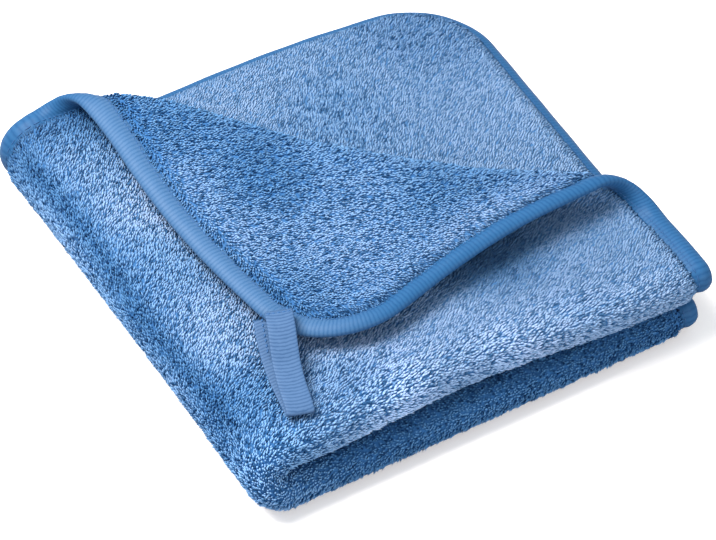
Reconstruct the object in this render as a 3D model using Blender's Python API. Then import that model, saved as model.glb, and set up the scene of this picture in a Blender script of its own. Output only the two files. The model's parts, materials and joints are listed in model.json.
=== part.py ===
"""A plush microfibre cloth: bound all round, folded in four, its free top corner turned back."""

import math
from collections import namedtuple

import bmesh
import bpy
import numpy as np

# The cloth laid out flat: p runs to the right and q runs away. The two folds cross at p = q = 0.
CLOTH_LEFT = 0.198
CLOTH_RIGHT = 0.202
CLOTH_NEAR = 0.199
CLOTH_FAR = 0.201
CORNER_RADIUS = 0.039
CORNER_STEPS = 6

# The plush, pile tip to pile tip, and the air left between two layers that lie on each other.
PLUSH = 0.0086
LAYER_GAP = 0.0010
HALF = PLUSH / 2
PITCH = PLUSH + LAYER_GAP

# The edge binding: a tape folded round the cloth's cut edge, which it presses flat. The tape's
# outside is rounded off towards the edge, and the pile swells up again just inside the tape.
BINDING_WIDTH = 0.010
BINDING_HALF = 0.0024
TAPE = 0.0006
SEAM_GAP = 0.0009
PRESSED_HALF = BINDING_HALF - TAPE - SEAM_GAP
TAPE_TURN = 0.0015
TAPE_ROUND_FROM = 0.0016
TAPE_ROUND_HALF = 0.0009
CUT_EDGE_INSET = TAPE_TURN + SEAM_GAP
PILE_RISES_FROM = BINDING_WIDTH + 0.0012
PILE_SHOULDER = BINDING_WIDTH + 0.0030
PILE_SHOULDER_HALF = 0.78 * HALF

# Fold one turns the near half under, about q = 0. Fold two turns the left half under, about p = 0.
FOLD_1_RADIUS = PITCH / 2
FOLD_2_RADIUS = PITCH
FOLD_1_REACH = FOLD_1_RADIUS * math.pi / 2
FOLD_2_REACH = FOLD_2_RADIUS * math.pi / 2
FOLD_1_FRONT = FOLD_1_RADIUS + HALF
FOLD_2_FRONT = FOLD_2_RADIUS + FOLD_1_RADIUS + HALF
FOLD_2_BULGE = 0.0035
STACK_HEIGHT = 4 * PLUSH + 3 * LAYER_GAP

# The turned-back corner. Its crest crosses the top layer; along it, from the front right end
# to the back left end, the crest shifts outwards and its roll widens.
CREST_ANGLE = math.radians(49)
TURN_LENGTH = 0.3423
TURN_SETTLE = 0.080
SLACK_SETTLE = 0.038
Crest = namedtuple("Crest", "along out radius")
CREST = [
    Crest(-0.112, 0.1560, 0.0094),
    Crest(-0.062, 0.1510, 0.0082),
    Crest(0.007, 0.1520, 0.0075),
    Crest(0.045, 0.1590, 0.0074),
    Crest(0.080, 0.1650, 0.0072),
    Crest(0.115, 0.1630, 0.0070),
]

# The turned-back part stands a little higher along its right edge, most at some way behind the crest.
EDGE_LIFT = 0.0040
EDGE_LIFT_FROM = 0.110
EDGE_LIFT_PEAK = 0.045

# How far the far and the near side are pulled out of square, from left to right, and how far
# the right side is, from near to far. A pull starts at SIDE_FROM and is whole at the edge.
Side = namedtuple("Side", "p far near")
SIDES = [
    Side(-0.200, 0.0015, -0.0090),
    Side(-0.130, 0.0020, -0.0055),
    Side(-0.060, 0.0025, -0.0045),
    Side(-0.030, 0.0030, -0.0025),
    Side(0.000, 0.0068, 0.0005),
    Side(0.022, 0.0075, 0.0045),
    Side(0.050, 0.0090, 0.0080),
    Side(0.085, 0.0130, 0.0098),
    Side(0.130, 0.0145, 0.0092),
    Side(0.170, 0.0145, 0.0055),
    Side(0.204, 0.0145, 0.0025),
]
RightSide = namedtuple("RightSide", "q out")
RIGHT_SIDE = [
    RightSide(-0.200, -0.0010),
    RightSide(-0.140, 0.0000),
    RightSide(0.000, 0.0010),
    RightSide(0.045, 0.0000),
    RightSide(0.075, -0.0045),
    RightSide(0.105, -0.0075),
    RightSide(0.135, -0.0055),
    RightSide(0.165, 0.0000),
    RightSide(0.201, 0.0030),
]
SIDE_FROM = 0.060

# The bound edges droop where nothing holds them up, layer by layer. The folds keep them up near
# p = 0 and q = 0.
DROOP_FROM = 0.015
DROOP_RADIUS = 0.0056
DROOP_SECOND = math.radians(48)
DROOP_THIRD = math.radians(14)
DROOP_BOTTOM = math.radians(8)
HELD_P = 0.020
HELD_Q = 0.015
HELD_FADE = 0.050

# The upper folded edge wanders in and out along the front.
Lip = namedtuple("Lip", "x back")
LIP = [
    Lip(-0.020, 0.0000),
    Lip(0.030, 0.0025),
    Lip(0.100, 0.0045),
    Lip(0.170, -0.0015),
    Lip(0.206, -0.0025),
]
LIP_DEPTH = 0.060
LIP_FROM_HEIGHT = 0.35
LIP_WHOLE_HEIGHT = 0.65

# The stack leans left towards the back, its left side most, and lies thinner away from its folds.
LEAN = 0.040
LEAN_CURVE = 0.400
LEAN_ACROSS = (-0.020, 0.200)
THINNING = 0.10
THINNING_FROM = 0.005
THINNING_OVER = 0.060
FLAT_BELOW = 0.00025

# The hanging loop: one tape doubled back on itself and sewn over the binding at the free corner.
# Its middle line goes out along the upper leg, turns at the end and comes back along the lower.
# Along is measured from the root, and side to the left of the way out.
LOOP_WIDTH = 0.011
LOOP_TAPE = 0.0009
LOOP_ROOT = (0.0401, 0.0600)
LOOP_HEADING = math.radians(252.3)
LoopStation = namedtuple("LoopStation", "along side height")
LOOP = [
    LoopStation(0.0000, 0.0007, 0.0492),
    LoopStation(0.0060, 0.0003, 0.0492),
    LoopStation(0.0125, -0.0002, 0.0486),
    LoopStation(0.0190, -0.0006, 0.0464),
    LoopStation(0.0260, -0.0008, 0.0436),
    LoopStation(0.0340, -0.0005, 0.0421),
    LoopStation(0.0420, 0.0002, 0.0416),
    LoopStation(0.0462, 0.0005, 0.0409),
    LoopStation(0.0474, 0.0004, 0.0399),
    LoopStation(0.0462, 0.0002, 0.0390),
    LoopStation(0.0420, -0.0006, 0.0388),
    LoopStation(0.0340, -0.0021, 0.0389),
    LoopStation(0.0260, -0.0034, 0.0391),
    LoopStation(0.0190, -0.0040, 0.0394),
    LoopStation(0.0125, -0.0042, 0.0396),
    LoopStation(0.0090, -0.0042, 0.0396),
]
LOOP_STEPS = 3

# Where the flat pieces are cut across so that they can bend.
GRID = 0.022
FOLD_1_CUTS = 6
FOLD_2_CUTS = 8
CREST_CUTS = (0.146, 0.200, 0.0034)
CREST_CUTS_FROM = (0.010, 0.007)
EDGE_MARGIN = 0.006
SHARP = math.radians(50)


def smooth(x):
    x = np.clip(x, 0, 1)
    return x * x * (3 - 2 * x)


def read(rows, column, at):
    """One column of a table, read smoothly between its rows by the table's first column."""
    place = np.array([row[0] for row in rows])
    value = np.array([getattr(row, column) for row in rows])
    slope = np.gradient(value, place)
    at = np.clip(at, place[0], place[-1])
    i = np.clip(np.searchsorted(place, at, side="right") - 1, 0, len(rows) - 2)
    span = place[i + 1] - place[i]
    t = (at - place[i]) / span
    start = value[i] * (2 * t**3 - 3 * t**2 + 1) + slope[i] * span * (t**3 - 2 * t**2 + t)
    end = value[i + 1] * (3 * t**2 - 2 * t**3) + slope[i + 1] * span * (t**3 - t**2)
    return start + end


def pull(p, q):
    """The far, near and right sides pulled out of square."""
    far = read(SIDES, "far", p) * np.clip((q - SIDE_FROM) / (CLOTH_FAR - SIDE_FROM), 0, None)
    near = read(SIDES, "near", p) * np.clip((-q - SIDE_FROM) / (CLOTH_NEAR - SIDE_FROM), 0, None)
    right = read(RIGHT_SIDE, "out", q) * np.clip((p - SIDE_FROM) / (CLOTH_RIGHT - SIDE_FROM), 0, None)
    return p + right, q + far - near


def edge_frame(p, q):
    """How far in from the cloth's edge a place lies, and the way out to that edge."""
    dp = p - (CLOTH_RIGHT - CLOTH_LEFT) / 2
    dq = q - (CLOTH_FAR - CLOTH_NEAR) / 2
    over_p = np.abs(dp) - ((CLOTH_RIGHT + CLOTH_LEFT) / 2 - CORNER_RADIUS)
    over_q = np.abs(dq) - ((CLOTH_FAR + CLOTH_NEAR) / 2 - CORNER_RADIUS)
    corner = np.hypot(np.clip(over_p, 0, None), np.clip(over_q, 0, None))
    inset = CORNER_RADIUS - corner - np.minimum(np.maximum(over_p, over_q), 0)
    in_corner = corner > 0
    reach = np.where(in_corner, corner, 1)
    along_p = np.where(in_corner, np.clip(over_p, 0, None) / reach, over_p > over_q)
    along_q = np.where(in_corner, np.clip(over_q, 0, None) / reach, over_p <= over_q)
    return inset, along_p * np.sign(dp), along_q * np.sign(dq)


def droop(p, q):
    """The edges of the three lower layers bend down towards the surface."""
    inset, out_p, out_q = edge_frame(p, q)
    most = np.where(q < 0, np.where(p > 0, DROOP_SECOND, DROOP_THIRD), np.where(p > 0, 0, DROOP_BOTTOM))
    free = smooth((np.abs(p) - HELD_P) / HELD_FADE) * smooth((np.abs(q) - HELD_Q) / HELD_FADE)
    run = np.clip(DROOP_FROM - inset, 0, None)
    turned = np.minimum(run / DROOP_RADIUS, most * free)
    straight = run - DROOP_RADIUS * turned
    across = DROOP_RADIUS * np.sin(turned) + straight * np.cos(turned)
    down = DROOP_RADIUS * (1 - np.cos(turned)) + straight * np.sin(turned)
    facing = np.where((q < 0) & (p < 0), -1, 1)
    return p - (run - across) * out_p, q - (run - across) * out_q, down * facing


def turn_back(p, q, lift):
    """The free corner rolled over the crest and laid back on the top layer."""
    c, s = math.cos(CREST_ANGLE), math.sin(CREST_ANGLE)
    across, along = p * c + q * s, q * c - p * s
    out = read(CREST, "out", along)
    radius = read(CREST, "radius", along)
    past = across - out
    angle = np.clip(past / radius, 0, math.pi)
    back = np.clip(past - math.pi * radius, 0, None)
    slack = TURN_LENGTH - 2 * out - math.pi * radius
    settled = back - slack * (1 - np.exp(-back / SLACK_SETTLE))
    top = np.where(past < 0, across, out + radius * np.sin(angle) - settled)
    lying = PITCH + (2 * radius - PITCH) * (1 - smooth(back / TURN_SETTLE))
    raised = EDGE_LIFT * smooth((p - EDGE_LIFT_FROM) / (CLOTH_RIGHT - EDGE_LIFT_FROM))
    away = back / EDGE_LIFT_PEAK
    lying = lying + raised * away * np.exp(1 - away)
    height = np.where(back > 0, lying, radius * (1 - np.cos(angle)))
    turned = (past > 0) & (p > 0) & (q > 0)
    top = np.where(turned, top, across)
    return top * c - along * s, top * s + along * c, lift + np.where(turned, height, 0)


def fold(run, offset, radius, front):
    """A half turn about a line: run goes over it, offset lies square to the cloth."""
    reach = radius * math.pi / 2
    angle = np.clip(run / radius, -math.pi / 2, math.pi / 2)
    beyond = np.clip(np.abs(run) - reach, 0, None)
    return front - (radius + offset) * np.cos(angle) + beyond, (radius + offset) * np.sin(angle)


def thickness_left(x, y):
    return 1 - THINNING * smooth((np.minimum(x, y) - THINNING_FROM) / THINNING_OVER)


def middle(p, q):
    """Where the middle of the cloth's thickness comes to lie once it is folded."""
    p, q, lift = droop(p, q)
    p, q = pull(p, q)
    p, q, lift = turn_back(p, q, lift)
    y, offset = fold(q, lift, FOLD_1_RADIUS, FOLD_1_FRONT)
    x, z = fold(p, offset, FOLD_2_RADIUS, FOLD_2_FRONT - FOLD_2_BULGE)
    z = z + STACK_HEIGHT / 2
    upper = smooth((z / STACK_HEIGHT - LIP_FROM_HEIGHT) / (LIP_WHOLE_HEIGHT - LIP_FROM_HEIGHT))
    z = z * thickness_left(x, y)
    back = read(LIP, "back", x) * upper * (1 - smooth(y / LIP_DEPTH))
    lean = LEAN * y * (1 + y / LEAN_CURVE) * (1 - np.clip(x, *LEAN_ACROSS) / LEAN_ACROSS[1])
    return np.stack([x - lean, y + back, z], axis=-1)


def lay_folded(flat):
    """Carry points of the flat cloth, given as p, q and height, to their folded places."""
    p, q, w = flat.T
    step = 0.00005
    over_p = middle(p + step, q) - middle(p - step, q)
    over_q = middle(p, q + step) - middle(p, q - step)
    square = np.cross(over_p, over_q)
    square /= np.linalg.norm(square, axis=-1, keepdims=True)
    at = middle(p, q)
    placed = at + (w * thickness_left(at[:, 0], at[:, 1]))[:, None] * square
    placed[placed[:, 2] < FLAT_BELOW, 2] = 0
    return placed


def outline(inset):
    """The rounded outline of the flat cloth, moved in by a distance."""
    radius = CORNER_RADIUS - inset
    low_p, high_p = -CLOTH_LEFT + CORNER_RADIUS, CLOTH_RIGHT - CORNER_RADIUS
    low_q, high_q = -CLOTH_NEAR + CORNER_RADIUS, CLOTH_FAR - CORNER_RADIUS
    centres = [(high_p, low_q), (high_p, high_q), (low_p, high_q), (low_p, low_q)]
    points = []
    for corner, (cp, cq) in enumerate(centres):
        for step in range(CORNER_STEPS + 1):
            angle = math.pi / 2 * (corner - 1 + step / CORNER_STEPS)
            points.append((cp + radius * math.cos(angle), cq + radius * math.sin(angle)))
    return points


def ring_band(bm, profile):
    """Rings of vertices round the cloth, one for each inset and height, joined by faces."""
    rings = [[bm.verts.new((p, q, height)) for p, q in outline(inset)] for inset, height in profile]
    for inner, outer in zip(rings, rings[1:]):
        for i in range(len(inner)):
            j = (i + 1) % len(inner)
            bm.faces.new((inner[i], outer[i], outer[j], inner[j]))
    return rings


def mirrored(profile):
    return profile + [(inset, -height) for inset, height in reversed(profile)]


def flat_plush(bm):
    """The cloth: full pile inside, pressed thin where the binding holds its cut edge."""
    shoulder = [
        (DROOP_FROM, HALF),
        (PILE_SHOULDER, PILE_SHOULDER_HALF),
        (PILE_RISES_FROM, PRESSED_HALF),
        (CUT_EDGE_INSET, PRESSED_HALF),
    ]
    rings = ring_band(bm, mirrored(shoulder))
    bm.faces.new(rings[0])
    bm.faces.new(reversed(rings[-1]))


def flat_binding(bm):
    """The binding: a tape folded into a channel round the cut edge."""
    outer = mirrored([(BINDING_WIDTH, BINDING_HALF), (TAPE_ROUND_FROM, BINDING_HALF), (0, TAPE_ROUND_HALF)])
    slot = mirrored([(BINDING_WIDTH, BINDING_HALF - TAPE), (TAPE_TURN, BINDING_HALF - TAPE)])
    rings = ring_band(bm, outer)
    inner_rings = ring_band(bm, slot[::-1])
    ends = [(rings[-1], inner_rings[0]), (inner_rings[-1], rings[0])]
    for first, second in ends:
        for i in range(len(first)):
            j = (i + 1) % len(first)
            bm.faces.new((first[i], second[i], second[j], first[j]))


def cut(bm, faces, place, normal):
    edges = {edge for face in faces for edge in face.edges}
    verts = {vert for face in faces for vert in face.verts}
    geometry = list(faces) + list(edges) + list(verts)
    bmesh.ops.bisect_plane(bm, geom=geometry, dist=1e-6, plane_co=place, plane_no=normal)


def spread(start, end, step):
    count = max(1, round((end - start) / step))
    return [start + (end - start) * i / count for i in range(count + 1)]


def cut_lines(low, high, reach, fold_cuts):
    """Close cuts over a fold and wide ones out to the binding on both sides."""
    margin = DROOP_FROM + EDGE_MARGIN
    near = spread(low + margin, -reach, GRID)
    over = spread(-reach, reach, 2 * reach / fold_cuts)
    far = spread(reach, high - margin, GRID)
    return near[:-1] + over + far[1:]


def cut_to_bend(bm):
    for p in cut_lines(-CLOTH_LEFT, CLOTH_RIGHT, FOLD_2_REACH, FOLD_2_CUTS):
        cut(bm, bm.faces[:], (p, 0, 0), (1, 0, 0))
    for q in cut_lines(-CLOTH_NEAR, CLOTH_FAR, FOLD_1_REACH, FOLD_1_CUTS):
        cut(bm, bm.faces[:], (0, q, 0), (0, 1, 0))
    c, s = math.cos(CREST_ANGLE), math.sin(CREST_ANGLE)
    least_p, least_q = CREST_CUTS_FROM
    for across in spread(*CREST_CUTS):
        free = [f for f in bm.faces if all(v.co.x > least_p and v.co.y > least_q for v in f.verts)]
        cut(bm, free, (across * c, across * s, 0), (c, s, 0))


def new_object(name, bm, material):
    mesh = bpy.data.meshes.new(name)
    bmesh.ops.triangulate(bm, faces=bm.faces[:])
    bm.to_mesh(mesh)
    bm.free()
    mesh.shade_smooth()
    mesh.set_sharp_from_angle(angle=SHARP)
    mesh.materials.append(material)
    obj = bpy.data.objects.new(name, mesh)
    bpy.context.scene.collection.objects.link(obj)
    return obj


def folded_piece(name, build, material):
    bm = bmesh.new()
    build(bm)
    cut_to_bend(bm)
    bmesh.ops.recalc_face_normals(bm, faces=bm.faces[:])
    places = lay_folded(np.array([vert.co[:] for vert in bm.verts], dtype=float))
    for vert, place in zip(bm.verts, places):
        vert.co = place
    return new_object(name, bm, material)


def loop_line():
    """The loop's middle line as points, from a smooth curve through its stations."""
    count = (len(LOOP) - 1) * LOOP_STEPS + 1
    at = np.linspace(0, len(LOOP) - 1, count)
    Numbered = namedtuple("Numbered", "order along side height")
    rows = [Numbered(order, *station) for order, station in enumerate(LOOP)]
    return np.stack([read(rows, column, at) for column in ("along", "side", "height")], axis=-1)


def hanging_loop(material):
    line = loop_line()
    heading = np.array([math.cos(LOOP_HEADING), math.sin(LOOP_HEADING), 0])
    left = np.array([-heading[1], heading[0], 0])
    root = np.array([*LOOP_ROOT, 0])
    middle_line = root + line[:, :1] * heading + line[:, 1:2] * left + line[:, 2:] * np.array([0, 0, 1])
    ahead = np.gradient(middle_line, axis=0)
    ahead /= np.linalg.norm(ahead, axis=-1, keepdims=True)
    square = np.cross(ahead, left)
    bm = bmesh.new()
    sections = []
    for place, normal in zip(middle_line, square):
        corners = [(-0.5, 0.5), (0.5, 0.5), (0.5, -0.5), (-0.5, -0.5)]
        points = [place + a * LOOP_WIDTH * left + b * LOOP_TAPE * normal for a, b in corners]
        sections.append([bm.verts.new(point) for point in points])
    for first, second in zip(sections, sections[1:]):
        for i in range(4):
            j = (i + 1) % 4
            bm.faces.new((first[i], first[j], second[j], second[i]))
    bm.faces.new(sections[0])
    bm.faces.new(reversed(sections[-1]))
    bmesh.ops.recalc_face_normals(bm, faces=bm.faces[:])
    return new_object("hanging_loop", bm, material)


def material(name, colour, roughness):
    mat = bpy.data.materials.new(name)
    mat.use_nodes = True
    shader = mat.node_tree.nodes["Principled BSDF"]
    shader.inputs["Base Color"].default_value = (*colour, 1)
    shader.inputs["Roughness"].default_value = roughness
    shader.inputs["Metallic"].default_value = 0
    return mat


def stand_on_centre(pieces):
    """Put the origin under the middle of the whole thing, on the surface that it lies on."""
    corners = np.array([vert.co[:] for obj in pieces for vert in obj.data.vertices])
    low, high = corners.min(axis=0), corners.max(axis=0)
    shift = [-(low[0] + high[0]) / 2, -(low[1] + high[1]) / 2, -low[2]]
    for obj in pieces:
        for vert in obj.data.vertices:
            vert.co.x += shift[0]
            vert.co.y += shift[1]
            vert.co.z += shift[2]


def main():
    for obj in list(bpy.data.objects):
        bpy.data.objects.remove(obj, do_unlink=True)
    plush = material("plush", (0.19, 0.40, 0.74), 0.95)
    tape = material("binding_tape", (0.09, 0.25, 0.58), 0.8)
    loop_tape = material("loop_tape", (0.11, 0.28, 0.62), 0.8)
    pieces = [
        folded_piece("cloth", flat_plush, plush),
        folded_piece("binding", flat_binding, tape),
        hanging_loop(loop_tape),
    ]
    stand_on_centre(pieces)


main()
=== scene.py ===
"""A bound plush microfibre cloth, folded in four, its top corner turned back to show the other face."""

import json
import math

import bpy
import numpy as np
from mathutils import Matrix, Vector
from mathutils.bvhtree import BVHTree

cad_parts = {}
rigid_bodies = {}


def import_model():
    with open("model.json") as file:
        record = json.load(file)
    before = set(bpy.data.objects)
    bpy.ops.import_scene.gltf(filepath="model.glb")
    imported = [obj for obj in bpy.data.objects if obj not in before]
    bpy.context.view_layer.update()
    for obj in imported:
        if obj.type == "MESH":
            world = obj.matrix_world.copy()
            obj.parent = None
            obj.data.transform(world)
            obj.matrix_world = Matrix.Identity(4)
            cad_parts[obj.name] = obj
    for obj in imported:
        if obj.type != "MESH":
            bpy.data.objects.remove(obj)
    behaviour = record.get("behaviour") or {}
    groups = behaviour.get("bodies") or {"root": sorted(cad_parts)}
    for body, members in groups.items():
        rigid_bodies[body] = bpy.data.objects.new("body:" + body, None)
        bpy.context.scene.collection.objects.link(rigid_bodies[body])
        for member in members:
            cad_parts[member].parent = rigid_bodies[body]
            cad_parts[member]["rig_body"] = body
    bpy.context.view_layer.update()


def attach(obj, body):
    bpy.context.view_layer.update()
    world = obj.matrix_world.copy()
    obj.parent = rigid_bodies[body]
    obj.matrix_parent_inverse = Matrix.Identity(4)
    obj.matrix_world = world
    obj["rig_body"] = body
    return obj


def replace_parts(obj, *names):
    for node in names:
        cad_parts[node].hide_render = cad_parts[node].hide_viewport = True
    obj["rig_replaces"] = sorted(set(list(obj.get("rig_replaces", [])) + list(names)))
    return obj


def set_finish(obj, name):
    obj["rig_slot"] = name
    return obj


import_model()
bpy.ops.object.select_all(action="DESELECT")


# ---------------------------------------------------------------------------------------------
# The stage: a plain white table in a pale room, under a large soft light that stands behind it and
# to the left, with a weak one in front. The camera looks down over the near corner.


def new_paint(name, roughness, specular):
    """A new material, its Principled BSDF, and the tree that its nodes stand in."""
    paint = bpy.data.materials.new(name)
    paint.use_nodes = True
    shader = paint.node_tree.nodes["Principled BSDF"]
    shader.inputs["Roughness"].default_value = roughness
    shader.inputs["Specular IOR Level"].default_value = specular
    return paint, shader, paint.node_tree


def add_node(tree, kind, inputs, **settings):
    """A new node. Each input is linked where a socket is given for it, and set where a value is."""
    node = tree.nodes.new(kind)
    for setting, choice in settings.items():
        setattr(node, setting, choice)
    for socket, feed in inputs.items():
        if isinstance(feed, bpy.types.NodeSocket):
            tree.links.new(feed, node.inputs[socket])
        else:
            node.inputs[socket].default_value = feed
    return node


bpy.ops.mesh.primitive_plane_add(size=6, location=(0, 0, 0))
table = bpy.context.object
table.name = "table_top"
table_paint, white, table_tree = new_paint("white_table", roughness=0.9, specular=0)
white.inputs["Base Color"].default_value = (0.97, 0.92, 0.89, 1)
white.inputs["Emission Color"].default_value = (1.0, 0.89, 0.84, 1)
white.inputs["Emission Strength"].default_value = 0.29
# The table throws less light back onto the cloth than its white would.
grey = add_node(table_tree, "ShaderNodeBsdfDiffuse", {"Color": (0.40, 0.40, 0.42, 1)})
seen_directly = add_node(table_tree, "ShaderNodeLightPath", {}).outputs["Is Camera Ray"]
either = add_node(
    table_tree,
    "ShaderNodeMixShader",
    {"Fac": seen_directly, 1: grey.outputs["BSDF"], 2: white.outputs["BSDF"]},
)
table_surface = table_tree.nodes["Material Output"].inputs["Surface"]
table_tree.links.new(either.outputs["Shader"], table_surface)
table.data.materials.append(table_paint)

room = bpy.data.worlds.new("white_room")
room.use_nodes = True
room_light = room.node_tree.nodes["Background"]
room_light.inputs["Color"].default_value = (0.70, 0.87, 1.0, 1)
room_light.inputs["Strength"].default_value = 0.62
bpy.context.scene.world = room
bpy.context.scene.view_settings.view_transform = "Standard"

LIGHTS_AIM = (0, 0, 0.02)


def soft_light(name, place, size, power):
    bpy.ops.object.light_add(type="AREA", location=place)
    lamp = bpy.context.object
    lamp.name = name
    lamp.data.shape = "SQUARE"
    lamp.data.size = size
    lamp.data.energy = power
    lamp.data.color = (1.0, 0.97, 0.93)
    towards = Vector(LIGHTS_AIM) - Vector(place)
    lamp.rotation_mode = "QUATERNION"
    lamp.rotation_quaternion = towards.to_track_quat("-Z", "Y")


soft_light("main_light", (-0.50, 0.40, 1.22), size=0.80, power=40)
soft_light("front_fill", (0.30, -1.15, 0.50), size=0.90, power=8)

ROUND_BY, ABOVE_BY = math.radians(-29.06), math.radians(50.16)
LOOKING_AT = Vector((-0.00803, -0.02418, 0.020))
CAMERA_AWAY, CAMERA_LENS = 1.2862, 160.9
way_back = Vector(
    (
        math.sin(ROUND_BY) * math.cos(ABOVE_BY),
        -math.cos(ROUND_BY) * math.cos(ABOVE_BY),
        math.sin(ABOVE_BY),
    )
)
bpy.ops.object.camera_add(location=LOOKING_AT + CAMERA_AWAY * way_back)
camera = bpy.context.object
camera.rotation_mode = "QUATERNION"
camera.rotation_quaternion = (-way_back).to_track_quat("-Z", "Y")
camera.data.sensor_width = 36
camera.data.lens = CAMERA_LENS
camera.data.clip_end = 20
bpy.context.scene.camera = camera


# ---------------------------------------------------------------------------------------------
# The cloth panel: a knitted microfibre ground of about 400 by 400 mm with plush on both faces and
# rounded corners. It is folded in half from the front, in half again from the left, and the free
# top corner is rolled back and laid on the top layer. Only its ground is made here.

# Flat, p runs to the right and q runs away, and the folds cross at p = q = 0.
CLOTH_LEFT, CLOTH_RIGHT = 0.198, 0.202
CLOTH_NEAR, CLOTH_FAR = 0.199, 0.201
CORNER_RADIUS = 0.039
PLUSH_HALF = 0.0043
LAYER_PITCH = 0.0096
STACK_HEIGHT = 4 * 2 * PLUSH_HALF + 3 * (LAYER_PITCH - 2 * PLUSH_HALF)
FOLD_1_RADIUS = LAYER_PITCH / 2
FOLD_2_RADIUS = LAYER_PITCH
FOLD_1_FRONT = FOLD_1_RADIUS + PLUSH_HALF
FOLD_2_PRESSED = 0.0035
FOLD_2_FRONT = FOLD_2_RADIUS + FOLD_1_RADIUS + PLUSH_HALF - FOLD_2_PRESSED
# Where the stack's near corner lies on the table.
NEAR_CORNER = (-0.0935114, -0.1042340)

# The crest of the turned-back corner: along it, how far out it lies and how wide it rolls.
CREST_ANGLE = math.radians(49)
TURN_LENGTH, TURN_SETTLE, SLACK_SETTLE = 0.3423, 0.080, 0.038
CREST = (
    (-0.112, -0.062, 0.007, 0.045, 0.080, 0.115),
    (0.1560, 0.1510, 0.1520, 0.1590, 0.1650, 0.1630),
    (0.0094, 0.0082, 0.0075, 0.0074, 0.0072, 0.0070),
)
EDGE_LIFT, EDGE_LIFT_FROM, EDGE_LIFT_PEAK = 0.0040, 0.110, 0.045

# How far the far and the near side are pulled out of square along p, and the right side along q.
SIDES = (
    (-0.200, -0.130, -0.060, -0.030, 0.000, 0.022, 0.050, 0.085, 0.130, 0.170, 0.204),
    (0.0015, 0.0020, 0.0025, 0.0030, 0.0068, 0.0075, 0.0090, 0.0130, 0.0145, 0.0145, 0.0145),
    (-0.0090, -0.0055, -0.0045, -0.0025, 0.0005, 0.0045, 0.0080, 0.0098, 0.0092, 0.0055, 0.0025),
)
RIGHT_SIDE = (
    (-0.200, -0.140, 0.000, 0.045, 0.075, 0.105, 0.135, 0.165, 0.201),
    (-0.0010, 0.0000, 0.0010, 0.0000, -0.0045, -0.0075, -0.0055, 0.0000, 0.0030),
)
SIDE_FROM = 0.060

# The bound edges of the lower layers droop where no fold holds them up.
DROOP_FROM, DROOP_RADIUS = 0.015, 0.0056
DROOP_SECOND, DROOP_THIRD, DROOP_BOTTOM = (math.radians(a) for a in (37, 14, 8))
HELD_P, HELD_Q, HELD_FADE = 0.020, 0.015, 0.050

# The upper folded edge wanders along the front and the lower one stands out a little, and the stack
# leans left towards the back. It is also a little thinner away from its folds.
LIP = ((-0.020, 0.030, 0.100, 0.170, 0.206), (0.0000, 0.0025, 0.0045, -0.0015, -0.0025))
FOOT = 0.0025
LIP_DEPTH, LIP_FROM_HEIGHT, LIP_WHOLE_HEIGHT = 0.060, 0.35, 0.65
LEAN, LEAN_CURVE, LEAN_ACROSS = 0.040, 0.400, (-0.020, 0.200)
THINNING, THINNING_FROM, THINNING_OVER = 0.10, 0.005, 0.060
FLAT_BELOW = 0.00025


def smooth(x):
    x = np.clip(x, 0, 1)
    return x * x * (3 - 2 * x)


def read(place, value, at):
    """A row of values, read smoothly between the places it is given at."""
    place, value = np.array(place), np.array(value)
    slope = np.gradient(value, place)
    at = np.clip(at, place[0], place[-1])
    i = np.clip(np.searchsorted(place, at, side="right") - 1, 0, len(place) - 2)
    span = place[i + 1] - place[i]
    t = (at - place[i]) / span
    start = value[i] * (2 * t**3 - 3 * t**2 + 1) + slope[i] * span * (t**3 - 2 * t**2 + t)
    end = value[i + 1] * (3 * t**2 - 2 * t**3) + slope[i + 1] * span * (t**3 - t**2)
    return start + end


def edge_frame(p, q):
    """How far in from the cloth's edge a place lies, and the way out to that edge."""
    dp = p - (CLOTH_RIGHT - CLOTH_LEFT) / 2
    dq = q - (CLOTH_FAR - CLOTH_NEAR) / 2
    over_p = np.abs(dp) - ((CLOTH_RIGHT + CLOTH_LEFT) / 2 - CORNER_RADIUS)
    over_q = np.abs(dq) - ((CLOTH_FAR + CLOTH_NEAR) / 2 - CORNER_RADIUS)
    corner = np.hypot(np.clip(over_p, 0, None), np.clip(over_q, 0, None))
    inset = CORNER_RADIUS - corner - np.minimum(np.maximum(over_p, over_q), 0)
    in_corner = corner > 0
    reach = np.where(in_corner, corner, 1)
    out_p = np.where(in_corner, np.clip(over_p, 0, None) / reach, over_p > over_q)
    out_q = np.where(in_corner, np.clip(over_q, 0, None) / reach, over_p <= over_q)
    return inset, out_p * np.sign(dp), out_q * np.sign(dq)


def droop(p, q):
    """The free edge bent down over its droop: the place pulled in, and how far it comes to hang."""
    inset, out_p, out_q = edge_frame(p, q)
    most = np.where(q < 0, np.where(p > 0, DROOP_SECOND, DROOP_THIRD), np.where(p > 0, 0, DROOP_BOTTOM))
    free = smooth((np.abs(p) - HELD_P) / HELD_FADE) * smooth((np.abs(q) - HELD_Q) / HELD_FADE)
    run = np.clip(DROOP_FROM - inset, 0, None)
    turned = np.minimum(run / DROOP_RADIUS, most * free)
    straight = run - DROOP_RADIUS * turned
    across = DROOP_RADIUS * np.sin(turned) + straight * np.cos(turned)
    down = DROOP_RADIUS * (1 - np.cos(turned)) + straight * np.sin(turned)
    facing = np.where((q < 0) & (p < 0), -1, 1)
    return p - (run - across) * out_p, q - (run - across) * out_q, down * facing


def pull(p, q):
    """The flat place with the sides pulled out of square."""
    far = read(SIDES[0], SIDES[1], p) * np.clip((q - SIDE_FROM) / (CLOTH_FAR - SIDE_FROM), 0, None)
    near = read(SIDES[0], SIDES[2], p) * np.clip((-q - SIDE_FROM) / (CLOTH_NEAR - SIDE_FROM), 0, None)
    right = read(*RIGHT_SIDE, q) * np.clip((p - SIDE_FROM) / (CLOTH_RIGHT - SIDE_FROM), 0, None)
    return p + right, q + far - near


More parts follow.
